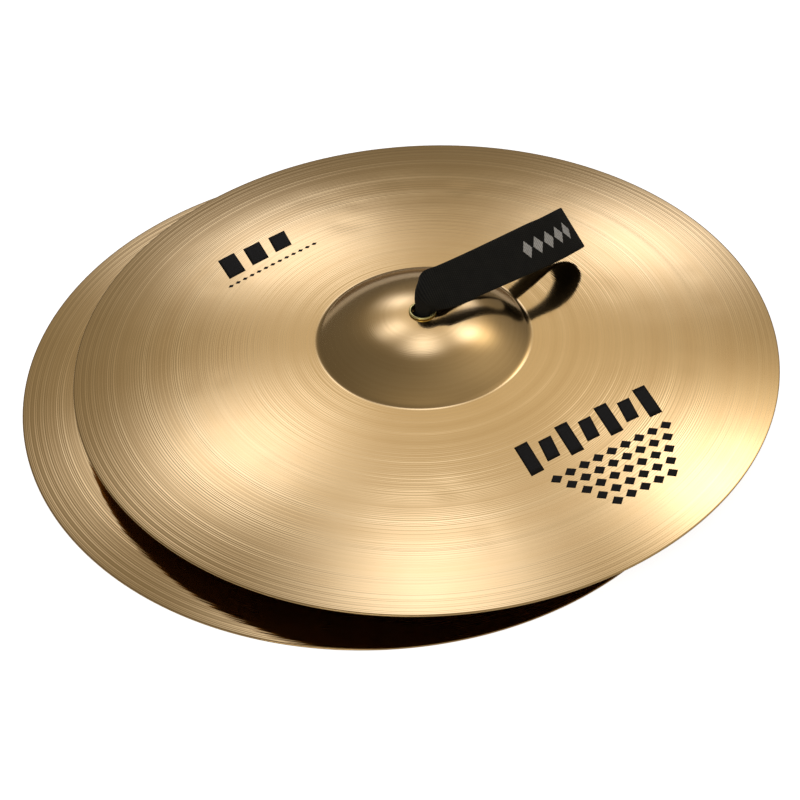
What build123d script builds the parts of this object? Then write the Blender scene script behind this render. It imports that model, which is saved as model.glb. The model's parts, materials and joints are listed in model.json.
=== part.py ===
"""A stacked pair of hand cymbals: two domed bronze plates, each with a nylon webbing hand loop.

Millimetres, +Z up. The origin is the middle of the pair's footprint, on the surface that the lower
plate's rim stands on. +X points the way the upper plate is shifted from the lower one.
"""
from build123d import *
from math import asin, cos, degrees, radians, sin
import os

# ---- Plate ----
plate_radius = 203.2         # a 16 inch cymbal
rim_thickness = 0.9
bell_thickness = 1.4
rim_land = 0.6               # width of the flat on which the lower rim stands
rim_slope = 9.8              # degrees, at the rim
bow_slope = 3.2              # degrees, where the bow meets the bell
crown_radius = 130.0         # the flatter top of the bell
crown_reach = 30.0
flank_radius = 78.0
flank_slope = 37.2           # degrees, at the foot of the bell
foot_fillet = 7.0
hole_radius = 7.3

# ---- Brass grommet that lines the hole ----
barrel_outer = 7.2
barrel_inner = 6.6
bead_radius = 0.95           # rolled top edge
bead_reach = 7.8             # radius of the bead's own centre circle
grommet_washer_outer = 9.6
grommet_washer_thickness = 0.8
flare_outer = 8.8
flare_thickness = 0.6

# ---- Strap anchor inside the bell ----
leather_inner = 10.2
leather_outer = 21.0
leather_drop = 2.6           # from the plate's underside at the hole to the leather's flat side
disc_radius = 19.0
disc_hole = 6.7
disc_thickness = 1.6
disc_edge_break = 0.3
pin_radius = 2.0
pin_length = 21.0
pin_edge_break = 0.4
bundle_radius = 6.2          # webbing gathered in the hole
wrap_thickness = 3.1         # webbing wound round the pin
wrap_half_width = 5.0
stitch_radius = 0.45
stitch_turns = (-150, -90, -30)   # degrees round the pin
stitch_length = 6.0

# ---- Webbing ----
web_thickness = 1.6
neck_top = 1.2               # top of the gathered webbing, above the bell's crown
hinge_lift = 3.2             # the loop folds about this height above the crown
knuckle_radius = 1.4
fold_reach = 3.2             # the doubled webbing between the two legs, over the hinge
fold_depth = 2.0
fold_offset = 1.2

# ---- How the pair is stacked ----
stack_offset = 31.3
stack_height = 21.2          # between the two rim planes, at the upper plate's axis
stack_tilt_x = -1.12         # degrees: the upper plate's front edge stands higher
stack_tilt_y = -1.10         # degrees: so does its +X edge
strap_heading = {"upper": 41.3, "lower": -52.0}   # degrees from +X

gap = 0.3                    # between pieces that move on each other
touch = 0.05

# The webbing loops, from the grommet out along one leg, round the far end and back along the other:
# (out, left, above the crown, lean of the webbing's width in degrees, width).
upper_loop = [
    (0.4, 0.0, 3.0, 0, 11), (0.6, 0.2, 8.2, 12, 16), (4.6, -0.6, 12.8, 30, 22),
    (14.6, -2.2, 13.9, 38, 25.4), (38.8, 2.1, 11.9, 37, 25.4), (57.2, 6.2, 9.8, 36.6, 25.4),
    (75.0, 10.4, 7.3, 36.6, 25.4), (92.7, 13.1, 6.2, 36.6, 25.4), (103.4, 16.7, 3.7, 36.6, 25.4),
    (111.2, 21.3, -0.1, 36.6, 25.4), (115.6, 25.8, -4.4, 36.6, 25.4),
    (113.5, 29.6, -9.2, 36.6, 25.4), (106.0, 31.5, -11.9, 36.6, 25.4),
    (96.8, 30.1, -10.7, 36.6, 25.4), (79.4, 23.9, -6.0, 36.6, 25.4),
    (56.1, 16.3, -0.6, 36.6, 25.4), (39.1, 10.8, 3.2, 36.6, 25.4),
    (26.9, 7.2, 5.8, 33, 24), (17.0, 4.0, 6.2, 24, 20), (9.5, 1.4, 4.8, 10, 14),
    (2.4, 0.2, 2.9, 0, 10),
]
upper_loop_turn = -14.0      # degrees between the loop's own axes and the fold's
lower_loop = [
    (0.4, 0, 3.0, 0, 11), (0.8, 0, 7.8, 0, 17), (5.5, 0, 10.8, 0, 23), (13.0, 0, 11.2, 0, 25.4),
    (20.0, 0, 9.9, 0, 25.4), (29.0, 0, 5.4, 0, 25.4), (40.0, 0, 1.0, 0, 25.4),
    (52.0, 0, -3.6, 0, 25.4), (75.0, 0, -9.8, 0, 25.4), (104.0, 0, -13.8, 0, 25.4),
    (108.6, 0, -15.8, 0, 25.4), (104.0, 0, -17.8, 0, 25.4), (75.0, 0, -15.2, 0, 25.4),
    (52.0, 0, -8.8, 0, 25.4), (40.0, 0, -3.8, 0, 25.4), (27.0, 0, 0.4, 0, 25.4),
    (17.0, 0, 3.2, 0, 20), (9.5, 0, 4.0, 0, 14), (2.4, 0, 2.9, 0, 10),
]

# ---- What follows from those sizes ----
crown_slope = degrees(asin(crown_reach / crown_radius))
foot_reach = (crown_reach
              + flank_radius * (sin(radians(flank_slope)) - sin(radians(crown_slope)))
              + foot_fillet * (sin(radians(flank_slope)) - sin(radians(bow_slope))))
bow_radius = (plate_radius - foot_reach) / (sin(radians(rim_slope)) - sin(radians(bow_slope)))
bow_drop = bow_radius * (cos(radians(bow_slope)) - cos(radians(rim_slope)))
bell_drop = (crown_radius * (1 - cos(radians(crown_slope)))
             + flank_radius * (cos(radians(crown_slope)) - cos(radians(flank_slope)))
             + foot_fillet * (cos(radians(bow_slope)) - cos(radians(flank_slope))))
crown_height = rim_thickness + bow_drop + bell_drop
under_radius = crown_radius - bell_thickness
crown_centre = crown_height - crown_radius


def on_crown(reach, radius=crown_radius):
    """Height, at this reach from the axis, of a sphere about the centre of the bell's crown."""
    return crown_centre + (radius ** 2 - reach ** 2) ** 0.5


disc_top = on_crown(hole_radius, under_radius) - leather_drop
pin_height = disc_top - disc_thickness - pin_radius
hinge_height = crown_height + hinge_lift


def arc_out(start, radius, slope_from, slope_to, bulge=1):
    """Middle and end of an arc that runs outwards and down from start, between two slopes in degrees.

    bulge is 1 for an arc that steepens as it goes out, and -1 for one that flattens.
    """
    def point(slope):
        here, there = radians(slope_from), radians(slope)
        out = bulge * radius * (sin(there) - sin(here))
        down = bulge * radius * (cos(here) - cos(there))
        return (start[0] + out, start[1] - down)
    return point((slope_from + slope_to) / 2), point(slope_to)


def plate():
    """The whole cymbal: crown, flank, foot, bow and rim as one revolved sheet with its centre hole."""
    top = (0, crown_height)
    crown_mid, crown_end = arc_out(top, crown_radius, 0, crown_slope)
    flank_mid, flank_end = arc_out(crown_end, flank_radius, crown_slope, flank_slope)
    foot_mid, foot_end = arc_out(flank_end, foot_fillet, flank_slope, bow_slope, -1)
    bow_mid, rim_top = arc_out(foot_end, bow_radius, bow_slope, rim_slope)

    under = (0, crown_height - bell_thickness)
    under_mid, under_end = arc_out(under, under_radius, 0, crown_slope)
    inner_mid, inner_end = arc_out(under_end, flank_radius - bell_thickness,
                                   crown_slope, flank_slope)
    heel_mid, heel_end = arc_out(inner_end, foot_fillet + bell_thickness,
                                 flank_slope, bow_slope, -1)
    land = (plate_radius - rim_land, 0)
    mid_slope = radians((bow_slope + rim_slope) / 2)
    sheet = (bell_thickness + rim_thickness) / 2
    sole_mid = (bow_mid[0] - sheet * sin(mid_slope), bow_mid[1] - sheet * cos(mid_slope))
    with BuildPart() as made:
        with BuildSketch(Plane.XZ):
            with BuildLine():
                ThreePointArc(top, crown_mid, crown_end)
                ThreePointArc(crown_end, flank_mid, flank_end)
                ThreePointArc(flank_end, foot_mid, foot_end)
                ThreePointArc(foot_end, bow_mid, rim_top)
                Polyline(rim_top, (plate_radius, 0), land)
                ThreePointArc(land, sole_mid, heel_end)
                ThreePointArc(heel_end, heel_mid, inner_end)
                ThreePointArc(inner_end, inner_mid, under_end)
                ThreePointArc(under_end, under_mid, under)
                Line(under, top)
            make_face()
        revolve(axis=Axis.Z)
        Cylinder(hole_radius, 3 * crown_height, mode=Mode.SUBTRACT)
    return made.part


def grommet():
    """Brass eyelet: rolled bead on the crown, barrel in the hole, and the flare under its washer."""
    bead_height = on_crown(bead_reach) + bead_radius
    low = on_crown(grommet_washer_outer, under_radius) - grommet_washer_thickness - 2 * touch
    barrel = Pos(0, 0, (bead_height + low) / 2) * Cylinder(barrel_outer, bead_height - low)
    bead = Pos(0, 0, bead_height) * Torus(bead_reach, bead_radius)
    flare = Pos(0, 0, low - flare_thickness / 2) * Cylinder(flare_outer, flare_thickness)
    bore = Pos(0, 0, crown_height) * Cylinder(barrel_inner, 8 * bell_thickness)
    return barrel + bead + flare - bore


def grommet_washer():
    """Flat brass ring under the bell, against the plate, held by the grommet's flare."""
    top = on_crown(grommet_washer_outer, under_radius) - touch
    ring = Cylinder(grommet_washer_outer, grommet_washer_thickness)
    ring -= Cylinder(barrel_outer + touch, 2 * grommet_washer_thickness)
    return Pos(0, 0, top - grommet_washer_thickness / 2) * ring


def leather_washer():
    """Leather pad that keeps the steel disc off the bronze; its top is dished to the bell's inside."""
    pad = Cylinder(leather_outer, 3 * leather_drop) - Cylinder(leather_inner, 4 * leather_drop)
    pad = Pos(0, 0, disc_top + touch + 1.5 * leather_drop) * pad
    return pad & Pos(0, 0, crown_centre) * Sphere(under_radius - gap)


def retaining_disc():
    """Steel disc that is too wide for the bell's hole, with a hole for the gathered webbing."""
    disc = Cylinder(disc_radius, disc_thickness) - Cylinder(disc_hole, 2 * disc_thickness)
    rims = disc.edges().filter_by(GeomType.CIRCLE).sort_by(SortBy.RADIUS)[-2:]
    return Pos(0, 0, disc_top - disc_thickness / 2) * chamfer(rims, disc_edge_break)


def cross_pin():
    """Steel pin under the disc, which the webbing is wound round. It lies along the fold's axis."""
    pin = chamfer(Cylinder(pin_radius, pin_length).edges(), pin_edge_break)
    return Pos(0, 0, pin_height - touch) * Rot(X=90) * pin


def strap_tails():
    """The webbing gathered in the hole, through the disc and round the pin."""
    wrap_radius = pin_radius + wrap_thickness
    bottom = disc_top - disc_thickness - wrap_thickness
    top = crown_height + neck_top
    neck = Pos(0, 0, (bottom + top) / 2) * Cylinder(bundle_radius, top - bottom)
    wrap = Pos(0, 0, pin_height) * Rot(X=90) * Cylinder(wrap_radius, 2 * wrap_half_width)
    side = 2 * disc_radius
    under_disc = Box(side, side, side, align=(Align.CENTER, Align.CENTER, Align.MAX))
    wrap &= Pos(0, 0, disc_top - disc_thickness - touch) * under_disc
    slot = Cylinder(pin_radius + 2 * touch, pin_length)
    return neck + wrap - Pos(0, 0, pin_height - touch) * Rot(X=90) * slot


def stitching():
    """Rows of bonded thread across the wound webbing, below the pin."""
    reach = pin_radius + wrap_thickness + stitch_radius + touch
    rows = []
    for turn in stitch_turns:
        seat = Pos(reach * cos(radians(turn)), 0, pin_height + reach * sin(radians(turn)))
        rows.append(seat * Rot(X=90) * Cylinder(stitch_radius, stitch_length))
    return Compound(children=rows)


def webbing(stations):
    """A strip of webbing through its stations, as one solid of even thickness."""
    centres = [Vector(x, y, z + crown_height) for x, y, z, lean, width in stations]
    last = len(centres) - 1
    sections = []
    for i, (x, y, z, lean, width) in enumerate(stations):
        ahead = (centres[min(i + 1, last)] - centres[max(i - 1, 0)]).normalized()
        across = Vector(0, cos(radians(lean)), sin(radians(lean))) * (width / 2)
        up = ahead.cross(across).normalized() * (web_thickness / 2)
        middle = centres[i]
        corners = [middle - across - up, middle + across - up,
                   middle + across + up, middle - across + up]
        sections.append(make_face(Polyline(*corners, close=True)))
    return loft(sections, ruled=True)


def hand_loop(stations, turn):
    """The hand loop above the hole, with the folded neck that joins its two legs."""
    knuckle = Pos(0, 0, hinge_height) * Rot(X=90) * Cylinder(knuckle_radius, 2 * wrap_half_width)
    fold = Box(fold_reach, 2 * wrap_half_width, fold_depth)
    fold = Pos(fold_offset, 0, hinge_height + gap) * fold
    return Rot(Z=turn) * webbing(stations) + knuckle + fold


cymbal_pieces = {
    "plate": plate(),
    "grommet": grommet(),
    "grommet_washer": grommet_washer(),
}
anchor_pieces = {
    "leather_washer": leather_washer(),
    "retaining_disc": retaining_disc(),
    "cross_pin": cross_pin(),
    "strap_tails": strap_tails(),
    "tail_stitching": stitching(),
}
loops = {
    "upper": hand_loop(upper_loop, upper_loop_turn),
    "lower": hand_loop(lower_loop, 0),
}
places = {
    "lower": Pos(-stack_offset / 2, 0, 0),
    "upper": Pos(stack_offset / 2, 0, stack_height) * Rot(Y=stack_tilt_y) * Rot(X=stack_tilt_x),
}

os.makedirs("parts", exist_ok=True)
for side, place in places.items():
    turned = place * Rot(Z=strap_heading[side])
    for name, solid in cymbal_pieces.items():
        export_step(place * solid, f"parts/{side}_{name}.step")
    for name, solid in anchor_pieces.items():
        export_step(turned * solid, f"parts/{side}_{name}.step")
    export_step(turned * loops[side], f"parts/{side}_strap_loop.step")
    hinge = turned * Pos(0, 0, hinge_height)
    fold_axis = (turned * Pos(0, -1, 0)).position - turned.position
    cymbal_axis = (place * Pos(0, 0, 1)).position - place.position
    print(side, "hinge", hinge.position, "fold axis", fold_axis, "cymbal axis", cymbal_axis)
print("crown height", round(crown_height, 3), "foot reach", round(foot_reach, 2))
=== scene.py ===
"""A stacked pair of hand cymbals: two lathed bronze plates, each with a black webbing hand loop.

Metres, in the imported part's frame. The plates, grommets and webbing are rebuilt here as finer meshes;
the steel pieces stay as packed and get their materials here.
"""

import json
import math
import random

import bpy
import numpy as np
from mathutils import Matrix, Vector


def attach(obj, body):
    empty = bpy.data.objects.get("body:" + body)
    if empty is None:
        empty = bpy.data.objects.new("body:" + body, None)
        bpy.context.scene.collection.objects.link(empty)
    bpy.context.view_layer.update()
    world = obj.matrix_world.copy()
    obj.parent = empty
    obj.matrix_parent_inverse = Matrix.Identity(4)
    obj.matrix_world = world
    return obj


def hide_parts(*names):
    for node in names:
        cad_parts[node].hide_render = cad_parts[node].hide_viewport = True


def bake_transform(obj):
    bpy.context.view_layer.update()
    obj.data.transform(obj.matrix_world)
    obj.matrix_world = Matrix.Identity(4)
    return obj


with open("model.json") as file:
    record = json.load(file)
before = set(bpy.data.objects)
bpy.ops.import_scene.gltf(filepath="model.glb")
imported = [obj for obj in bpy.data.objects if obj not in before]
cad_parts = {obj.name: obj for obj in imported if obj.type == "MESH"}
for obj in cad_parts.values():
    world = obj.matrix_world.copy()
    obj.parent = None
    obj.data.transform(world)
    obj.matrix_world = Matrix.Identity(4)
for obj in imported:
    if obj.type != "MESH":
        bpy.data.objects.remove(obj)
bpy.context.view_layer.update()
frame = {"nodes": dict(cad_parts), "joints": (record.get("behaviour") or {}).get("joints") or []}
MM = 0.001
SIDES = ("lower", "upper")

# ---- The plate's profile, millimetres and degrees, as in the part ----
PLATE_RADIUS = 203.2
RIM_THICKNESS = 0.9
BELL_THICKNESS = 1.4
HOLE_RADIUS = 7.3
RIM_ROUND = 0.3
RIM_LAND = 0.6
CROWN = (130.0, 0.0, 13.34)       # radius, slope at its start, slope at its end
FLANK = (78.0, 13.34, 37.2)
FOOT = (7.0, 37.2, 3.2)
BOW_SLOPES = (3.2, 9.8)

# ---- Lathing and hammering ----
SPOKES = 240
BOW_RINGS = 236
TONE_PITCH = 3.7                  # the coarser turning marks, cut in the mesh
TONE_DEPTH = 0.008
RIM_RINGS = (182.5, 186.0, 190.8, 194.4, 198.6)
RIM_RING_DEPTH = 0.008
HAMMER_RINGS = (118, 134, 150, 166)
DIMPLES = 90
DIMPLE_DEPTH = 0.05
GROOVE_BANDS = 95                 # noise scales per metre: bands of deeper grooves, their drift, polish
GROOVE_DRIFT = 210
FINE_POLISH = 640

# ---- Pieces in and under the hole ----
BEAD_REACH = 7.15                 # the grommet's rolled edge
BEAD_RADIUS = 0.78
BARREL_INNER = 6.4
BARREL_OUTER = 7.2
FLARE_OUTER = 8.8
FLARE_DROP = 3.1                  # from the crown at the bead to the flare's upper side
FLARE_ROUND = 0.3
HOLE_FALL = 0.2                   # the crown is this much lower at the hole than on its axis
LEATHER_INNER = 10.2
LEATHER_OUTER = 21.0
LEATHER_DROP = 2.6                # from the plate's underside at the hole to the leather's flat side
LEATHER_PARE = 0.45               # width of its pared upper edges
LEATHER_GAP = 0.3                 # between it and the bronze
TOUCH = 0.05
DISC_THICKNESS = 1.6
PIN_RADIUS = 2.0
TAIL_LAYERS = (("inner", 2.9), ("outer", 4.35))   # distance of each layer from the pin's axis

# ---- Webbing ----
WEB_WIDTH = 25.4
WEB_THICKNESS = 1.6
RIB_PITCH = 1.25
RIB_DEPTH = 0.28
FULLEST_CURL = 1.4                # radians, half the arc of webbing gathered at the neck
SELVEDGE = 0.06                   # height of the bead along each edge
STEPS_PER_RIB = 5
MARK_LENGTH = 40.0                # the woven mark, and how far out it ends
MARK_END = 108.0
MARK_LOZENGES = 5
MARK_REACH = 0.085                # half a lozenge along the webbing, as a share of the mark
MARK_HALF = 0.4                   # and across it, as a share of the webbing's half width
TIP_SKEW = 0.12                   # the loop's far end is turned this much off square

# ---- Printed marks ----
LARGE_PRINT = (132, -43, 33)      # reach, turn and heading, in degrees
SMALL_PRINT = (126, 138, 35)
INK_PROUD = 0.045
INK_DEPTH = 0.15


def material_nodes(name):
    """A new node material and its parts: the material, its nodes, a linking function and its shader."""
    made = bpy.data.materials.new(name)
    made.use_nodes = True
    nodes = made.node_tree.nodes
    shader = nodes["Principled BSDF"]

    def link(source, target):
        made.node_tree.links.new(source, target)
    return made, nodes, link, shader


def maths(nodes, link, operation, *values):
    """A Math node fed with numbers or sockets."""
    node = nodes.new("ShaderNodeMath")
    node.operation = operation
    for slot, value in enumerate(values):
        if isinstance(value, (int, float)):
            node.inputs[slot].default_value = value
        else:
            link(value, node.inputs[slot])
    return node.outputs[0]


def noise_line(nodes, link, along, scale, detail):
    """Noise that varies along one number only."""
    node = nodes.new("ShaderNodeTexNoise")
    node.noise_dimensions = "1D"
    node.inputs["Detail"].default_value = detail
    link(maths(nodes, link, "MULTIPLY", along, scale), node.inputs["W"])
    node.inputs["Scale"].default_value = 1.0
    return node.outputs["Fac"]


def noise_solid(nodes, link, place, scale, detail=3.0):
    """Noise in space."""
    node = nodes.new("ShaderNodeTexNoise")
    link(place, node.inputs["Vector"])
    node.inputs["Scale"].default_value = scale
    node.inputs["Detail"].default_value = detail
    return node.outputs["Fac"]


def blend_colours(nodes, link, share, first, second):
    """A colour between two, by a share from 0 to 1."""
    ramp = nodes.new("ShaderNodeValToRGB")
    link(share, ramp.inputs["Fac"])
    ramp.color_ramp.elements[0].color = (*first, 1)
    ramp.color_ramp.elements[1].color = (*second, 1)
    return ramp.outputs["Color"]


def spread(nodes, link, share, low, high):
    """Noise, which mostly lies between a quarter and three quarters, moved to the range low to high."""
    node = nodes.new("ShaderNodeMapRange")
    link(share, node.inputs["Value"])
    node.inputs["From Min"].default_value = 0.25
    node.inputs["From Max"].default_value = 0.75
    node.inputs["To Min"].default_value = low
    node.inputs["To Max"].default_value = high
    return node.outputs["Result"]


def raise_surface(nodes, link, shader, height, depth):
    """Bump of that depth in metres, for a height from 0 to 1."""
    bump = nodes.new("ShaderNodeBump")
    bump.inputs["Strength"].default_value = 1.0
    bump.inputs["Distance"].default_value = depth
    link(height, bump.inputs["Height"])
    link(bump.outputs["Normal"], shader.inputs["Normal"])


def radius_nodes(nodes, link):
    """The object's own coordinates, and the distance from its axis."""
    coordinates = nodes.new("ShaderNodeTexCoord").outputs["Object"]
    flat = nodes.new("ShaderNodeVectorMath")
    flat.operation = "MULTIPLY"
    flat.inputs[1].default_value = (1, 1, 0)
    link(coordinates, flat.inputs[0])
    length = nodes.new("ShaderNodeVectorMath")
    length.operation = "LENGTH"
    link(flat.outputs["Vector"], length.inputs[0])
    return coordinates, length.outputs["Value"]


def lathed_bronze(name, light, dark, roughness, anisotropy, groove_pitch, groove_depth):
    """Bronze with turning marks round its axis: fine grooves in bands, and faint uneven polish."""
    made, nodes, link, shader = material_nodes(name)
    coordinates, radius = radius_nodes(nodes, link)
    bands = noise_line(nodes, link, radius, GROOVE_BANDS, 3.0)
    drift = noise_line(nodes, link, radius, GROOVE_DRIFT, 1.0)
    phase = maths(nodes, link, "MULTIPLY", radius, 2 * math.pi / groove_pitch)
    phase = maths(nodes, link, "MULTIPLY_ADD", drift, 9.0, phase)
    wave = maths(nodes, link, "MULTIPLY_ADD", maths(nodes, link, "SINE", phase), 0.5, 0.5)
    depth = spread(nodes, link, bands, 0.15, 1.0)
    coarse = maths(nodes, link, "MULTIPLY", wave, depth)
    fine = noise_line(nodes, link, radius, FINE_POLISH, 1.0)
    height = maths(nodes, link, "MULTIPLY_ADD", fine, 0.25, coarse)
    raise_surface(nodes, link, shader, height, groove_depth)
    patches = noise_solid(nodes, link, coordinates, 28)
    tone = maths(nodes, link, "MULTIPLY_ADD", bands, 0.6, maths(nodes, link, "MULTIPLY", patches, 0.4))
    tone = maths(nodes, link, "MULTIPLY_ADD", maths(nodes, link, "SUBTRACT", fine, 0.5), 0.22, tone)
    link(blend_colours(nodes, link, spread(nodes, link, tone, 0, 1), dark, light),
         shader.inputs["Base Color"])
    link(spread(nodes, link, tone, roughness * 1.12, roughness * 0.88), shader.inputs["Roughness"])
    shader.inputs["Metallic"].default_value = 1.0
    shader.inputs["Anisotropic"].default_value = anisotropy
    tangent = nodes.new("ShaderNodeTangent")
    tangent.direction_type = "RADIAL"
    tangent.axis = "Z"
    link(tangent.outputs["Tangent"], shader.inputs["Tangent"])
    return made


def worn_metal(name, light, dark, roughness):
    """Metal with small scratches and dull spots."""
    scale = 240
    made, nodes, link, shader = material_nodes(name)
    coordinates = nodes.new("ShaderNodeTexCoord").outputs["Object"]
    spots = noise_solid(nodes, link, coordinates, scale, 5.0)
    fine = noise_solid(nodes, link, coordinates, scale * 9, 2.0)
    link(blend_colours(nodes, link, spread(nodes, link, spots, 0, 1), dark, light),
         shader.inputs["Base Color"])
    link(spread(nodes, link, spots, roughness * 1.5, roughness * 0.8), shader.inputs["Roughness"])
    shader.inputs["Metallic"].default_value = 1.0
    raise_surface(nodes, link, shader, fine, 0.000006)
    return made


def woven_nylon(name, dark, light, yarn_pitch, yarn_depth, roughness, sheen):
    """Yarn that runs along the strip, with a painted highlight where it crowns each rib. The UVs are in
    metres.
    """
    made, nodes, link, shader = material_nodes(name)
    split = nodes.new("ShaderNodeSeparateXYZ")
    texture = nodes.new("ShaderNodeTexCoord")
    link(texture.outputs["UV"], split.inputs["Vector"])
    along = maths(nodes, link, "MULTIPLY", split.outputs["X"], math.pi / (RIB_PITCH * MM))
    across = maths(nodes, link, "MULTIPLY", split.outputs["Y"], 2 * math.pi / yarn_pitch)
    crown = maths(nodes, link, "ABSOLUTE", maths(nodes, link, "SINE", along))
    yarn = maths(nodes, link, "SINE", maths(nodes, link, "MULTIPLY_ADD", along, 0.5, across))
    yarn = maths(nodes, link, "MULTIPLY_ADD", yarn, 0.5, 0.5)
    fuzz = noise_solid(nodes, link, texture.outputs["UV"], 5200, 2.0)
    height = maths(nodes, link, "MULTIPLY_ADD", fuzz, 0.6, yarn)
    raise_surface(nodes, link, shader, height, yarn_depth)
    # Painted highlight: the base colour is lightened towards the second colour on each rib's crown, in
    # noisy patches, and faintly along each yarn.
    crown_highlight_patches = noise_solid(nodes, link, texture.outputs["UV"], 130, 4.0)
    tone = maths(nodes, link, "MULTIPLY", maths(nodes, link, "POWER", crown, 3.0), crown_highlight_patches)
    tone = maths(nodes, link, "MULTIPLY_ADD", yarn, 0.25, tone)
    link(blend_colours(nodes, link, tone, dark, light), shader.inputs["Base Color"])
    link(spread(nodes, link, fuzz, roughness * 0.9, roughness), shader.inputs["Roughness"])
    shader.inputs["Sheen Weight"].default_value = sheen
    shader.inputs["Sheen Roughness"].default_value = 0.4
    shader.inputs["Specular IOR Level"].default_value = 0.25
    return made


def grained_leather():
    """Brown vegetable-tanned leather: pores, creases and darker edges of grain."""
    made, nodes, link, shader = material_nodes("leather")
    coordinates = nodes.new("ShaderNodeTexCoord").outputs["Object"]
    cells = nodes.new("ShaderNodeTexVoronoi")
    cells.feature = "DISTANCE_TO_EDGE"
    cells.inputs["Scale"].default_value = 1100
    link(coordinates, cells.inputs["Vector"])
    cloud = noise_solid(nodes, link, coordinates, 160, 5.0)
    height = maths(nodes, link, "MULTIPLY_ADD", cloud, 0.5, cells.outputs["Distance"])
    raise_surface(nodes, link, shader, height, 0.00014)
    dark, light = (0.10, 0.045, 0.02), (0.22, 0.11, 0.05)
    link(blend_colours(nodes, link, spread(nodes, link, cloud, 0, 1), dark, light),
         shader.inputs["Base Color"])
    link(spread(nodes, link, cloud, 0.68, 0.5), shader.inputs["Roughness"])
    return made


def screen_ink():
    """Black screen-printed ink: slightly broken by the grooves under it."""
    made, nodes, link, shader = material_nodes("ink")
    coordinates, radius = radius_nodes(nodes, link)
    grooves = noise_line(nodes, link, radius, 1500, 2.0)
    specks = noise_solid(nodes, link, coordinates, 1600, 2.0)
    height = maths(nodes, link, "MULTIPLY_ADD", specks, 0.4, grooves)
    raise_surface(nodes, link, shader, height, 0.00002)
    dark, light = (0.0035, 0.003, 0.002), (0.010, 0.0085, 0.0055)
    link(blend_colours(nodes, link, spread(nodes, link, height, 0, 1), dark, light),
         shader.inputs["Base Color"])
    link(spread(nodes, link, specks, 0.6, 0.5), shader.inputs["Roughness"])
    shader.inputs["Specular IOR Level"].default_value = 0.15
    return made


BRONZE_LIGHT = (0.83, 0.575, 0.265)
BRONZE_DARK = (0.72, 0.475, 0.20)
UNDER_LIGHT = (0.66, 0.48, 0.26)
UNDER_DARK = (0.52, 0.36, 0.19)
# Bronze: light, dark, roughness, anisotropy, groove pitch and depth in metres. Other metal: light, dark
# and roughness. Nylon: dark, the painted highlight colour of the rib crowns, yarn pitch and depth in
# metres, roughness and sheen.
materials = {
    "bow": lathed_bronze("bow_bronze", BRONZE_LIGHT, BRONZE_DARK, 0.085, 0.75, 0.00128, 0.000016),
    "bell": lathed_bronze("bell_bronze", BRONZE_LIGHT, BRONZE_DARK, 0.14, 0.5, 0.0011, 0.000007),
    "under": lathed_bronze("under_bronze", UNDER_LIGHT, UNDER_DARK, 0.26, 0.5, 0.0019, 0.00002),
    "brass": worn_metal("brass", (0.88, 0.78, 0.34), (0.72, 0.60, 0.22), 0.24),
    "steel": worn_metal("steel", (0.62, 0.61, 0.58), (0.42, 0.41, 0.39), 0.3),
    # The second colour of each nylon is the painted highlight on its rib crowns.
    "webbing": woven_nylon("webbing", (0.0006, 0.0006, 0.0003), (0.03, 0.028, 0.0195),
                           0.0011, 0.00005, 0.8, 0.02),
    "mark_yarn": woven_nylon("mark_yarn", (0.36, 0.35, 0.32), (0.85, 0.83, 0.77),
                             0.0008, 0.00008, 0.8, 0.2),
    "thread": woven_nylon("thread", (0.02, 0.02, 0.017), (0.06, 0.058, 0.05),
                          0.0004, 0.00004, 0.6, 0.2),
    "leather": grained_leather(),
    "ink": screen_ink(),
}


# ---- Where each plate and each strap lies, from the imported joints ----
joints = {j["name"]: j for j in frame["joints"]}


def axes_matrix(x, y, z, origin):
    """A placement from three unit axes and an origin."""
    rows = [[x[i], y[i], z[i], origin[i]] for i in range(3)]
    return Matrix(rows + [[0, 0, 0, 1]])


def side_frames(side):
    """The plate's own placement, and the strap's, which is the same turned to the strap's heading."""
    swivel = joints[f"{side}_strap_swivel"]
    hinge = Vector(swivel["pos_m"])
    up = Vector(swivel["axis"]).normalized()
    hinge_height = joints["lower_strap_swivel"]["pos_m"][2]
    origin = hinge - up * hinge_height
    ahead = Vector((0, 1, 0)).cross(up).normalized()
    plate_frame = axes_matrix(ahead, up.cross(ahead), up, origin)
    left = -Vector(joints[f"{side}_strap_rise"]["axis"]).normalized()
    strap_frame = axes_matrix(left.cross(up), left, up, origin)
    return plate_frame, strap_frame


frames = {side: side_frames(side) for side in SIDES}


# ---- Meshes ----
def add_mesh(name, points, faces, placement, finish, body, smooth=True, uvs=None):
    """A mesh piece from points in millimetres, riding on a body. finish is one material or several."""
    mesh = bpy.data.meshes.new(name)
    mesh.from_pydata([tuple(c * MM for c in p) for p in points], [], faces)
    mesh.polygons.foreach_set("use_smooth", [smooth] * len(mesh.polygons))
    if uvs is not None:
        layer = mesh.uv_layers.new(name="strip")
        flat = [c * MM for loop in mesh.loops for c in uvs[loop.vertex_index]]
        layer.data.foreach_set("uv", flat)
    for each in finish if isinstance(finish, tuple) else (finish,):
        mesh.materials.append(each)
    mesh.update()
    made = bpy.data.objects.new(name, mesh)
    bpy.context.scene.collection.objects.link(made)
    made.matrix_world = placement
    if body:
        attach(made, body)
    return made


def arc_out(start, radius, slope_from, slope_to, steps, bulge=1):
    """Points of an arc that runs outwards and down from start, between two slopes in degrees."""
    begin = math.radians(slope_from)
    points = []
    for step in range(1, steps + 1):
        slope = math.radians(slope_from + (slope_to - slope_from) * step / steps)
        out = bulge * radius * (math.sin(slope) - math.sin(begin))
        down = bulge * radius * (math.cos(begin) - math.cos(slope))
        points.append((start[0] + out, start[1] - down))
    return points


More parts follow.
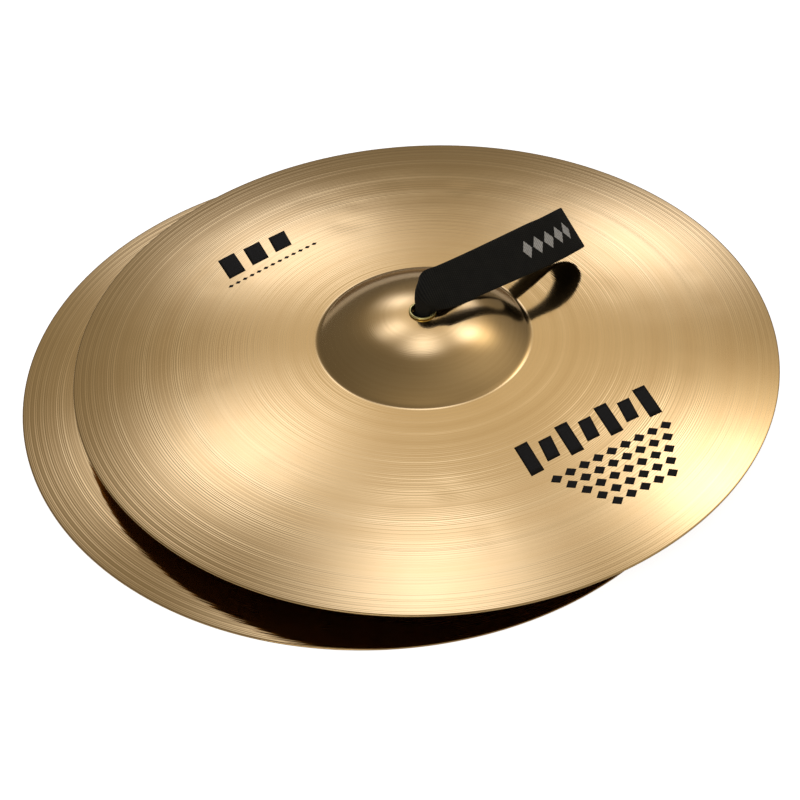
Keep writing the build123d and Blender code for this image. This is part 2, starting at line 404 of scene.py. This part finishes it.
def top_profile():
    """The plate's upper side from its axis to its rim, and the reach of the bell's foot."""
    points = [(0.0, 0.0)]
    points += arc_out(points[-1], *CROWN, 30)
    points += arc_out(points[-1], *FLANK, 26)
    points += arc_out(points[-1], *FOOT, 10, -1)
    foot = points[-1][0]
    rise = math.sin(math.radians(BOW_SLOPES[1])) - math.sin(math.radians(BOW_SLOPES[0]))
    points += arc_out(points[-1], (PLATE_RADIUS - foot) / rise, *BOW_SLOPES, BOW_RINGS)
    lift = RIM_THICKNESS - points[-1][1]
    return np.array([(r, z + lift) for r, z in points]), foot


TOP, FOOT_REACH = top_profile()


def top_height(reach):
    """Height of the plate's upper side at a distance from its axis."""
    return np.interp(reach, TOP[:, 0], TOP[:, 1])


CROWN_HEIGHT = float(TOP[0, 1])


def turning_marks(reach):
    """Depth of the coarser turning marks and of the rings near the rim, by distance from the axis."""
    wander = 1.9 * np.sin(reach / 6.1) + 1.3 * np.sin(reach / 2.7 + 1)
    swell = 0.55 + 0.45 * np.sin(reach / 7.3 + 0.8 * np.sin(reach / 3.9))
    marks = TONE_DEPTH * swell * np.sin(2 * math.pi * reach / TONE_PITCH + wander)
    on_bow = np.clip((reach - FOOT_REACH) / 4, 0, 1) * np.clip((PLATE_RADIUS - 1 - reach) / 2, 0, 1)
    rings = sum(np.exp(-((reach - ring) / 0.8) ** 2) for ring in RIM_RINGS)
    return on_bow * (marks - RIM_RING_DEPTH * rings)


def hammering(x, y):
    """Depth of the shallow hammer marks, scattered over the outer bow in rough rings."""
    draw = random.Random(16)
    depth = np.zeros_like(x)
    for _ in range(DIMPLES):
        reach = draw.choice(HAMMER_RINGS) + draw.uniform(-6, 6)
        turn = draw.uniform(0, 2 * math.pi)
        size = draw.uniform(5.5, 9.0)
        strength = draw.uniform(0.4, 1.0)
        away = (x - reach * math.cos(turn)) ** 2 + (y - reach * math.sin(turn)) ** 2
        depth += strength * np.exp(-away / size ** 2)
    return -DIMPLE_DEPTH * depth


def plate_outline():
    """The plate's section, clockwise from the hole's upper edge, and how many rings are its upper side."""
    upper = [p for p in TOP if HOLE_RADIUS + 0.4 < p[0] < PLATE_RADIUS - RIM_ROUND]
    upper.insert(0, np.array((HOLE_RADIUS + 0.15, top_height(HOLE_RADIUS) - 0.02)))
    rim = []
    for step in range(7):
        turn = math.radians(90 - 30 * step)
        middle = RIM_THICKNESS - RIM_ROUND if turn > 0 else RIM_ROUND
        rim.append((PLATE_RADIUS - RIM_ROUND + RIM_ROUND * math.cos(turn),
                    middle + RIM_ROUND * math.sin(turn)))
    rim.append((PLATE_RADIUS - RIM_LAND, 0.0))
    slopes = -np.gradient(TOP[:, 1], TOP[:, 0])
    normals = np.stack([slopes, np.ones_like(slopes)], 1)
    normals /= np.linalg.norm(normals, axis=1)[:, None]
    share = np.clip((TOP[:, 0] - FOOT_REACH) / (PLATE_RADIUS - FOOT_REACH), 0, 1)
    thick = BELL_THICKNESS + (RIM_THICKNESS - BELL_THICKNESS) * share
    sole = TOP - normals * thick[:, None]
    lower = []
    for r, z in sole[::-1]:
        spacing = 2.4 if r > FOOT_REACH + 4 else 1.2
        last = lower[-1][0] if lower else PLATE_RADIUS - RIM_LAND
        if HOLE_RADIUS + 0.6 < r <= last - spacing:
            lower.append((r, z))
    lower.append((HOLE_RADIUS, float(np.interp(HOLE_RADIUS, sole[:, 0], sole[:, 1]))))
    lower.append((HOLE_RADIUS, top_height(HOLE_RADIUS) - 0.2))
    return upper + rim + lower, len(upper)


def revolve(outline, spokes):
    """Points and faces of a closed outline turned round the Z axis."""
    turns = [2 * math.pi * k / spokes for k in range(spokes)]
    points = [(r * math.cos(t), r * math.sin(t), z) for r, z in outline for t in turns]
    rings = len(outline)
    faces = []
    for ring in range(rings):
        here, there = ring * spokes, (ring + 1) % rings * spokes
        for k in range(spokes):
            ahead = (k + 1) % spokes
            faces.append((here + k, there + k, there + ahead, here + ahead))
    return points, faces


def make_plate(side):
    """The bronze plate, with its turning and hammer marks, in three finishes."""
    outline, top_rings = plate_outline()
    points, faces = revolve(outline, SPOKES)
    points = np.array(points)
    worked = points[:top_rings * SPOKES]
    reach = np.hypot(worked[:, 0], worked[:, 1])
    off_rim = np.clip((PLATE_RADIUS - 6 - reach) / 12, 0, 1)
    worked[:, 2] += turning_marks(reach) + hammering(worked[:, 0], worked[:, 1]) * off_rim
    finish = (materials["bow"], materials["bell"], materials["under"])
    made = add_mesh(f"{side}_bronze", points, faces, frames[side][0], finish, f"{side}_cymbal")
    index = []
    for ring, (r, _) in enumerate(outline):
        on_top = ring < top_rings + 4
        on_bell = r < FOOT_REACH - 0.5
        index += [2 if not on_top else 1 if on_bell else 0] * SPOKES
    made.data.polygons.foreach_set("material_index", index)
    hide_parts(f"{side}_plate")


def round_edge(middle, radius, first, step, count):
    """Points round a rounded edge, clockwise from the first turn, in degrees."""
    turns = [math.radians(first - step * k) for k in range(count)]
    return [(middle[0] + radius * math.cos(t), middle[1] + radius * math.sin(t)) for t in turns]


def make_grommet(side):
    """Brass eyelet: a rolled bead on the crown, a barrel, and a flare curled out under the bell."""
    base = float(top_height(BEAD_REACH))
    flare_top = base - FLARE_DROP
    outline = round_edge((BEAD_REACH, base + BEAD_RADIUS), BEAD_RADIUS, 200, 17, 22)
    outline += [(BARREL_OUTER, base - 0.3), (BARREL_OUTER, flare_top + 0.5)]
    outline.append((BARREL_OUTER + 0.4, flare_top + 0.1))
    outline += round_edge((FLARE_OUTER - FLARE_ROUND, flare_top - FLARE_ROUND), FLARE_ROUND, 90, 22.5, 9)
    outline.append((BARREL_INNER + 0.7, flare_top - 2 * FLARE_ROUND))
    outline.append((BARREL_INNER + 0.15, flare_top - 0.35))
    outline += [(BARREL_INNER, flare_top + 0.2), (BARREL_INNER, base + 0.4)]
    points, faces = revolve(outline, 96)
    made = add_mesh(f"{side}_eyelet", points, faces, frames[side][0], materials["brass"],
                    f"{side}_cymbal")
    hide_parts(f"{side}_grommet")


# ---- Webbing strips ----
# Stations of each loop in the strap's own axes, from the hole out along the face and back again:
# out, left, above the crown, lean of the width in degrees, width, and which way its edges curl.
NECK_OUT = [
    (-1.7, 0.0, -5.0, 0, 10.6, 1), (-1.6, 0.0, -1.0, 0, 10.6, 1), (-1.4, 0.0, 2.6, 0, 10.8, 1),
]
NECK_BACK = [
    (1.6, 0.1, 2.4, 0, 9.6, -1), (0.9, 0.0, -1.0, 0, 9.2, -1), (0.8, 0.0, -5.0, 0, 9.2, -1),
]
LOOPS = {
    "upper": [
        (-0.9, 0.2, 7.6, 8, 14.5, 1), (1.2, 0.0, 12.2, 20, 19.5, 1), (6.0, -0.9, 14.0, 34, 24, 1),
        (14.6, -2.2, 14.0, 38, 25.6, 1),
        (38.8, 1.8, 11.6, 37, 26.2, 1), (57.2, 5.6, 9.3, 36.6, 26.9, 1), (75.0, 9.6, 6.6, 36.6, 27.4, 1),
        (92.7, 12.4, 5.5, 36.6, 27.4, 1), (103.0, 16.2, 3.2, 36.6, 27.2, 1),
        (110.3, 20.9, -0.4, 36.6, 27.0, 1), (114.4, 25.5, -4.6, 36.6, 27.0, 1),
        (112.4, 29.4, -9.3, 36.6, 27.0, 1), (105.4, 31.4, -12.0, 36.6, 27.0, 1),
        (96.8, 30.1, -10.7, 36.6, 26.8, 1), (79.4, 23.9, -6.0, 36.6, 26.4, -1),
        (56.1, 16.3, -0.6, 36.6, 25.8, -1), (39.1, 10.8, 3.2, 36.6, 25.4, -1),
        (26.9, 7.2, 5.8, 33, 24, -1), (17.0, 4.0, 6.2, 24, 20, -1), (9.0, 1.4, 5.4, 10, 13.5, -1),
    ],
    "lower": [
        (-0.4, 0, 6.8, 0, 14.5, 1), (4.6, 0, 10.4, 0, 21.5, 1), (13.0, 0, 11.2, 0, 25.4, 1),
        (20.0, 0, 9.9, 0, 25.4, 1), (29.0, 0, 5.4, 0, 25.4, 1), (40.0, 0, 1.0, 0, 25.4, 1),
        (52.0, 0, -3.6, 0, 25.4, 1), (75.0, 0, -9.8, 0, 25.4, 1), (104.0, 0, -13.8, 0, 25.4, 1),
        (108.6, 0, -15.8, 0, 25.4, 1), (104.0, 0, -17.8, 0, 25.4, 1), (75.0, 0, -15.2, 0, 25.4, -1),
        (52.0, 0, -8.8, 0, 25.4, -1), (40.0, 0, -3.8, 0, 25.4, -1), (27.0, 0, 0.4, 0, 25.4, -1),
        (17.0, 0, 3.2, 0, 20, -1), (9.0, 0, 4.6, 0, 13.5, -1),
    ],
}
LOOP_TURN = {"upper": -14.0, "lower": 0.0}   # degrees from the strap's own axes to the table's


def even_curve(stations, spacing):
    """The stations' values at even steps along one smooth curve through them, with the distance run."""
    table = np.array(stations, float)
    places = table[:, :3]
    chords = np.linalg.norm(np.diff(places, axis=0), axis=1)
    knots = np.concatenate([[0], np.cumsum(np.sqrt(chords))])
    slopes = np.gradient(table, knots, axis=0)
    fine = []
    for i in range(len(table) - 1):
        step = knots[i + 1] - knots[i]
        for t in np.arange(0, 1, 0.02):
            a, b = 2 * t ** 3 - 3 * t ** 2 + 1, t ** 3 - 2 * t ** 2 + t
            c, d = 3 * t ** 2 - 2 * t ** 3, t ** 3 - t ** 2
            here = a * table[i] + b * step * slopes[i]
            fine.append(here + c * table[i + 1] + d * step * slopes[i + 1])
    fine.append(table[-1])
    fine = np.array(fine)
    run = np.concatenate([[0], np.cumsum(np.linalg.norm(np.diff(fine[:, :3], axis=0), axis=1))])
    count = max(2, int(round(run[-1] / spacing)))
    wanted = np.linspace(0, run[-1], count + 1)
    return np.stack([np.interp(wanted, run, fine[:, k]) for k in range(table.shape[1])], 1), wanted


def curl_angle(share):
    """Half the arc, in radians, whose chord is that share of its length, up to the fullest curl."""
    if share >= 0.999:
        return 0.0
    low, high = 0.0, FULLEST_CURL
    for _ in range(30):
        middle = (low + high) / 2
        if math.sin(middle) / middle > share:
            low = middle
        else:
            high = middle
    return (low + high) / 2


class Strip:
    """A strip of webbing along stations: gives the point and outward direction at any place on it."""

    def __init__(self, stations, spacing):
        self.rows, self.run = even_curve(stations, spacing)
        middles = self.rows[:, :3] + np.array((0, 0, CROWN_HEIGHT))
        ahead = np.gradient(middles, axis=0)
        ahead /= np.linalg.norm(ahead, axis=1)[:, None]
        lean = np.radians(self.rows[:, 3])
        skew = -TIP_SKEW * np.clip((self.rows[:, 0] - 70) / 40, 0, 1)
        across = np.stack([skew, np.cos(lean), np.sin(lean)], 1)
        out = np.cross(ahead, across)
        out /= np.linalg.norm(out, axis=1)[:, None]
        self.middles, self.across, self.out = middles, across, out
        self.curls = [curl_angle(min(1.0, w / WEB_WIDTH)) for w in self.rows[:, 4]]

    def at(self, row, share, proud):
        """Point at a share from -1 to 1 of the half width, that far outside the strip's mid surface."""
        curl = self.curls[row]
        width, way = self.rows[row, 4], self.rows[row, 5]
        middle, across, out = self.middles[row], self.across[row], self.out[row]
        if curl < 0.02:
            return middle + across * (share * width / 2) + out * proud
        radius = width / 2 / math.sin(curl)
        turn = share * curl
        centre = math.sin(curl) / curl
        lift = way * radius * (math.cos(turn) - centre)
        normal = out * math.cos(turn) + across * (way * math.sin(turn))
        return middle + across * (radius * math.sin(turn)) + out * lift + normal * proud


def strip_section(count):
    """Shares of the half width and of the half thickness round a webbing's section, edges rounded."""
    flat = [-0.955 + 1.91 * k / (count - 1) for k in range(count)]
    upper = [(s, 1.0) for s in flat]
    lower = [(s, -1.0) for s in reversed(flat)]
    edge = [(0.988, 0.72), (1.0, 0.0), (0.988, -0.72)]
    return upper + edge + lower + [(-s, -h) for s, h in edge]


def ribbed_strip(strip):
    """Points, faces and UVs of a ribbed strip of webbing with a bead-like selvedge on each edge."""
    section = strip_section(13)
    points, uvs = [], []
    last = len(strip.run) - 1
    for row, run in enumerate(strip.run):
        rib = abs(math.sin(math.pi * run / RIB_PITCH))
        half = WEB_THICKNESS / 2 - RIB_DEPTH * (1 - rib)
        for share, side in section:
            edge = SELVEDGE * math.exp(-((abs(share) - 0.92) / 0.03) ** 2)
            points.append(strip.at(row, share, side * (half + edge)))
            uvs.append((run, share * WEB_WIDTH / 2 + (WEB_WIDTH if side < 0 else 0)))
    size = len(section)
    faces = []
    for row in range(last):
        for k in range(size):
            ahead = (k + 1) % size
            here, there = row * size, (row + 1) * size
            faces.append((here + k, there + k, there + ahead, here + ahead))
    faces.append(tuple(range(size)))
    faces.append(tuple(last * size + k for k in reversed(range(size))))
    return points, faces, uvs


def strap_placement(side):
    """The placement of the loop table's axes."""
    return frames[side][1] @ Matrix.Rotation(math.radians(LOOP_TURN[side]), 4, "Z")


def woven_mark(strip):
    """Generic mark woven in grey near the loop's far end: a chain of lozenges."""
    first, last = mark_rows(strip)
    length = last - first
    quads = []
    for k in range(MARK_LOZENGES):
        middle = first + length * (k + 0.5) / MARK_LOZENGES
        quads.append(lozenge(middle, 0, length * MARK_REACH, MARK_HALF))
    points, faces, uvs = [], [], []
    for quad in quads:
        add_patch(points, faces, uvs, quad, 9,
                  lambda s, t: strip_point(strip, s, t, WEB_THICKNESS / 2 + 0.13),
                  lambda s, t: strip_point(strip, s, t, WEB_THICKNESS / 2 - 0.35),
                  lambda s, t: (strip_run(strip, s), t * WEB_WIDTH / 2))
    return points, faces, uvs


def strip_run(strip, row):
    """Distance along the strip at a row that need not be whole."""
    return float(np.interp(row, range(len(strip.run)), strip.run))


def strip_point(strip, row, share, proud):
    """Point on the ribbed strip, so far outside its mid surface, at a row that need not be whole."""
    low = int(math.floor(row))
    part = row - low
    rib = abs(math.sin(math.pi * strip_run(strip, row) / RIB_PITCH))
    height = proud - RIB_DEPTH * (1 - rib)
    return strip.at(low, share, height) * (1 - part) + strip.at(low + 1, share, height) * part


def mark_rows(strip):
    """The rows between which the woven mark lies, on the outer part of the face."""
    furthest = int(np.argmax(strip.rows[:, 0]))
    face = [row for row in range(furthest) if strip.rows[row, 0] < MARK_END]
    end = max(face)
    start = min(row for row in face if strip.run[end] - strip.run[row] < MARK_LENGTH)
    return start, end


def add_patch(points, faces, uvs, corners, count, top, bottom, uv):
    """Adds a thin closed slab over a four-cornered patch, split into count by count cells."""
    base = len(points)
    (ax, ay), (bx, by), (cx, cy), (dx, dy) = corners
    for surface in (top, bottom):
        for i in range(count + 1):
            for j in range(count + 1):
                s, t = i / count, j / count
                x = ax * (1 - s) * (1 - t) + bx * s * (1 - t) + cx * s * t + dx * (1 - s) * t
                y = ay * (1 - s) * (1 - t) + by * s * (1 - t) + cy * s * t + dy * (1 - s) * t
                points.append(surface(x, y))
                uvs.append(uv(x, y))
    side = count + 1
    under = base + side * side
    for i in range(count):
        for j in range(count):
            a, b = i * side + j, (i + 1) * side + j
            faces.append((base + a, base + b, base + b + 1, base + a + 1))
            faces.append((under + a + 1, under + b + 1, under + b, under + a))
    loop = [j for j in range(count)] + [i * side + count for i in range(count)]
    loop += [count * side + j for j in range(count, 0, -1)] + [i * side for i in range(count, 0, -1)]
    for k, here in enumerate(loop):
        there = loop[(k + 1) % len(loop)]
        faces.append((base + here, base + there, under + there, under + here))


def make_loop(side):
    """The hand loop of ribbed webbing with its woven mark."""
    strip = Strip(NECK_OUT + LOOPS[side] + NECK_BACK, RIB_PITCH / STEPS_PER_RIB)
    placement = strap_placement(side)
    points, faces, uvs = ribbed_strip(strip)
    loop = add_mesh(f"{side}_webbing_loop", points, faces, placement, materials["webbing"], None,
                    uvs=uvs)
    points, faces, uvs = woven_mark(strip)
    mark = add_mesh(f"{side}_woven_mark", points, faces, placement, materials["mark_yarn"], None,
                    smooth=False, uvs=uvs)
    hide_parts(f"{side}_strap_loop")
    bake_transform(loop)
    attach(mark, f"{side}_hand_loop")


def wrap_strip(reach, start, stop, pin_height):
    """Stations of webbing that runs round the pin at that reach, between two turns in degrees."""
    stations = []
    turn = start
    while turn <= stop + 0.1:
        angle = math.radians(turn)
        stations.append((reach * math.cos(angle), 0, pin_height + reach * math.sin(angle), 0, 10.0, 1))
        turn += 20
    return stations


class TailStrip(Strip):
    """A narrower folded strip that lies flat across its width."""

    def __init__(self, stations, spacing):
        super().__init__(stations, spacing)
        self.curls = [0.0] * len(self.curls)


def build_tails(side):
    """The webbing's tails below the hole: two layers wound round the pin."""
    pin_height = -BELL_THICKNESS - HOLE_FALL - LEATHER_DROP - DISC_THICKNESS - PIN_RADIUS
    for layer, reach in TAIL_LAYERS:
        neck, waist = min(reach, 3.6), min(reach, 4.0)
        down = [(-neck, 0, -2.0, 0, 9.4, 1), (-waist, 0, -4.6, 0, 9.8, 1)]
        turned = wrap_strip(reach, 180, 360, pin_height)
        up = [(waist, 0, -4.6, 0, 9.8, 1), (neck, 0, -2.0, 0, 9.4, 1)]
        strip = TailStrip(down + turned + up, RIB_PITCH / STEPS_PER_RIB)
        points, faces, uvs = ribbed_strip(strip)
        made = add_mesh(f"{side}_tail_{layer}", points, faces, frames[side][1], materials["webbing"],
                        f"{side}_anchor", uvs=uvs)
        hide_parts(f"{side}_strap_tails")


def make_leather(side):
    """The leather washer: a flat face below, a dished one above, and pared round edges."""
    sole = CROWN_HEIGHT - BELL_THICKNESS - HOLE_FALL - LEATHER_DROP + TOUCH
    inner, outer = LEATHER_INNER, LEATHER_OUTER
    dish = CROWN[0] - BELL_THICKNESS - LEATHER_GAP
    centre = CROWN_HEIGHT - CROWN[0]

    def dished(r):
        return centre + math.sqrt(dish ** 2 - r ** 2)
    outline = [(r, dished(r)) for r in np.linspace(inner + LEATHER_PARE, outer - LEATHER_PARE, 12)]
    outline += [(outer - 0.12, dished(outer) - 0.15), (outer, dished(outer) - 0.4)]
    outline += [(outer, sole + 0.3), (outer - 0.3, sole)]
    outline += [(r, sole) for r in np.linspace(outer - 1.5, inner + 1.5, 6)]
    outline += [(inner + 0.3, sole), (inner, sole + 0.3)]
    outline += [(inner, dished(inner) - 0.4), (inner + 0.12, dished(inner) - 0.15)]
    points, faces = revolve(outline, 120)
    made = add_mesh(f"{side}_leather_pad", points, faces, frames[side][1], materials["leather"],
                    f"{side}_anchor")
    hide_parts(f"{side}_leather_washer")


# ---- Printed marks ----
def lozenge(x, y, wide, tall):
    """Corners of a lozenge."""
    return [(x - wide, y), (x, y - tall), (x + wide, y), (x, y + tall)]


def bar(x, y, wide, tall, slant):
    """Corners of an upright bar whose top is pushed along."""
    foot = [(x - wide, y - tall), (x + wide, y - tall)]
    return foot + [(x + wide + slant, y + tall), (x - wide + slant, y + tall)]


def large_mark():
    """A row of slanted bars over a field of lozenges that narrows away from it."""
    bar_pitch, lozenge_pitch, row_pitch = 13.6, 9.4, 7.4
    shapes = []
    for k in range(7):
        tall = 11.0 if k % 2 == 0 else 7.4
        shapes.append(bar(-43.5 + bar_pitch * k, 13.5, 4.3, tall, 4.2))
    for row in range(5):
        count = 9 - row
        for k in range(count):
            x = (k - (count - 1) / 2) * lozenge_pitch
            shapes.append(lozenge(x, -6.5 - row_pitch * row, 4.0, 3.2))
    return shapes


def small_mark():
    """Three slanted bars over a line of small lozenges."""
    shapes = [bar(-21 + 17.5 * k, 7.5, 5.8, 10.4 - 1.2 * k, 5.0) for k in range(3)]
    shapes += [lozenge(-30 + 5 * k, -9.5, 1.9, 1.4) for k in range(13)]
    return shapes


def make_print(side, name, shapes, reach, turn, heading):
    """Prints shapes on the plate: their middle at that reach and turn, their own X along the heading."""
    frame_turn, own_turn = math.radians(turn), math.radians(heading)
    middle = (reach * math.cos(frame_turn), reach * math.sin(frame_turn))

    def on_plate(x, y, proud):
        px = middle[0] + x * math.cos(own_turn) - y * math.sin(own_turn)
        py = middle[1] + x * math.sin(own_turn) + y * math.cos(own_turn)
        away = math.hypot(px, py)
        marks = turning_marks(np.array([away]))[0] + hammering(np.array([px]), np.array([py]))[0]
        return (px, py, float(top_height(away)) + float(marks) + proud)
    points, faces, uvs = [], [], []
    for shape in shapes:
        add_patch(points, faces, uvs, shape, 6, lambda x, y: on_plate(x, y, INK_PROUD),
                  lambda x, y: on_plate(x, y, -INK_DEPTH), lambda x, y: (x, y))
    made = add_mesh(f"{side}_{name}", points, faces, frames[side][0], materials["ink"], f"{side}_cymbal")


# The pieces that stay as packed, and their materials.
PACKED_FINISHES = {"grommet_washer": "brass", "retaining_disc": "steel", "cross_pin": "steel",
                   "tail_stitching": "thread"}
for side in SIDES:
    make_plate(side)
    make_grommet(side)
    make_loop(side)
    build_tails(side)
    make_leather(side)
    make_print(side, "large_print", large_mark(), *LARGE_PRINT)
    make_print(side, "small_print", small_mark(), *SMALL_PRINT)
    for node, finish in PACKED_FINISHES.items():
        kept = frame["nodes"][f"{side}_{node}"]
        kept.data.materials.clear()
        kept.data.materials.append(materials[finish])


# ---- Stage, light and camera ----
FLOOR_GLOW = 0.85
FLOOR_RADIUS = 9                  # metres
FLOOR_CORNERS = 64


def stage_floor():
    """A plain pale floor."""
    made, nodes, link, shader = material_nodes("floor")
    shader.inputs["Base Color"].default_value = (0.9, 0.9, 0.9, 1)
    shader.inputs["Roughness"].default_value = 0.9
    shader.inputs["Specular IOR Level"].default_value = 0.1
    shader.inputs["Emission Color"].default_value = (1, 1, 1, 1)
    seen = nodes.new("ShaderNodeLightPath").outputs["Is Camera Ray"]
    link(maths(nodes, link, "MULTIPLY", seen, FLOOR_GLOW), shader.inputs["Emission Strength"])
    turns = [2 * math.pi * k / FLOOR_CORNERS for k in range(FLOOR_CORNERS)]
    ring = [(FLOOR_RADIUS * math.cos(t), FLOOR_RADIUS * math.sin(t), -0.0002) for t in turns]
    mesh = bpy.data.meshes.new("floor")
    mesh.from_pydata(ring, [], [tuple(range(FLOOR_CORNERS))])
    mesh.materials.append(made)
    floor = bpy.data.objects.new("floor", mesh)
    bpy.context.scene.collection.objects.link(floor)


CAMERA_RISE = 43.47               # degrees above the horizon
CAMERA_ROLL = -1.84
CAMERA_DISTANCE = 1.508           # metres from the point it aims at
CAMERA_AIM = Vector((0.00045, -0.01205, 0))
LENS = 117.0                      # millimetres, as is the sensor's width
SENSOR = 36.0


def look_axes():
    """The camera's right, up and forward directions."""
    rise, roll = math.radians(CAMERA_RISE), math.radians(CAMERA_ROLL)
    forward = Vector((0, math.cos(rise), -math.sin(rise)))
    right = Vector((1, 0, 0))
    up = right.cross(forward)
    turned_right = right * math.cos(roll) + up * math.sin(roll)
    turned_up = up * math.cos(roll) - right * math.sin(roll)
    return turned_right, turned_up, forward


def make_camera():
    """The camera of the reference view."""
    right, up, forward = look_axes()
    data = bpy.data.cameras.new("camera")
    data.sensor_width, data.lens = SENSOR, LENS
    data.clip_start, data.clip_end = 0.05, 50
    camera = bpy.data.objects.new("camera", data)
    bpy.context.scene.collection.objects.link(camera)
    camera.matrix_world = axes_matrix(right, up, -forward, CAMERA_AIM - forward * CAMERA_DISTANCE)
    bpy.context.scene.camera = camera


# The studio round the plates: azimuth from +Y towards +X, elevation, width in degrees, level, colour.
WALL = (1.0, 0.93, 0.84)
BOX = (0.88, 0.98, 1.38)
STUDIO_BASE = 0.14
STUDIO = (
    (0, 41, 12.5, 0.55, WALL),
    (62, 48, 22, 0.32, WALL),
    (-3, 63, 5.0, 1.62, BOX),
    (-18.5, 47.5, 4.0, 1.5, BOX),
    (25.5, 50, 4.2, 1.9, BOX),
    (36, 46, 6.0, 1.2, WALL),
    (-9, 28, 3.6, 1.5, BOX),
    (12.5, 27.5, 3.6, 1.7, BOX),
    (180, 35, 30, 0.3, WALL),
)


def towards(azimuth, elevation):
    """Unit direction of an azimuth, from +Y towards +X, and an elevation, in degrees."""
    azimuth, elevation = math.radians(azimuth), math.radians(elevation)
    flat = math.cos(elevation)
    return Vector((flat * math.sin(azimuth), flat * math.cos(azimuth), math.sin(elevation)))


def sky():
    """The studio: a dim room with soft bright panels. The camera itself sees a plain pale backdrop."""
    world = bpy.data.worlds.new("studio")
    bpy.context.scene.world = world
    world.use_nodes = True
    nodes = world.node_tree.nodes

    def link(source, target):
        world.node_tree.links.new(source, target)

    def vector_step(operation, first, second):
        node = nodes.new("ShaderNodeVectorMath")
        node.operation = operation
        link(first, node.inputs[0])
        if isinstance(second, tuple):
            node.inputs[1].default_value = second
        else:
            link(second, node.inputs[1])
        return node
    direction = nodes.new("ShaderNodeTexCoord").outputs["Generated"]
    total = nodes.new("ShaderNodeCombineXYZ")
    for channel, tint in zip("XYZ", WALL):
        total.inputs[channel].default_value = STUDIO_BASE * tint
    total = total.outputs["Vector"]
    for azimuth, elevation, width, level, tint in STUDIO:
        closeness = vector_step("DOT_PRODUCT", direction, tuple(towards(azimuth, elevation)))
        sharpness = 1 / math.radians(width) ** 2
        power = maths(nodes, link, "MULTIPLY_ADD", closeness.outputs["Value"], sharpness, -sharpness)
        glow = maths(nodes, link, "EXPONENT", power)
        panel = nodes.new("ShaderNodeVectorMath")
        panel.operation = "SCALE"
        panel.inputs[0].default_value = [level * tone for tone in tint]
        link(glow, panel.inputs["Scale"])
        total = vector_step("ADD", total, panel.outputs["Vector"]).outputs["Vector"]
    seen = nodes.new("ShaderNodeMix")
    seen.data_type = "RGBA"
    factor, studio, backdrop = (seen.inputs[k] for k in (0, 6, 7))   # the sockets used for colours
    link(nodes.new("ShaderNodeLightPath").outputs["Is Camera Ray"], factor)
    link(total, studio)
    backdrop.default_value = (0.95, 0.95, 0.95, 1)
    link(seen.outputs[2], nodes["Background"].inputs["Color"])


def front_fill():
    """A large soft light above and behind the camera, for the webbing and the floor."""
    size, radiance, distance = 0.9, 2.2, 2.2
    data = bpy.data.lights.new("front_fill", "AREA")
    data.shape = "SQUARE"
    data.size = size
    data.energy = radiance * math.pi * size * size
    light = bpy.data.objects.new("front_fill", data)
    bpy.context.scene.collection.objects.link(light)
    away = towards(-160, 38)
    light.location = away * distance
    light.rotation_mode = "QUATERNION"
    light.rotation_quaternion = (-away).to_track_quat("-Z", "Y")


stage_floor()
make_camera()
sky()
front_fill()
bpy.context.scene.view_settings.view_transform = "Standard"
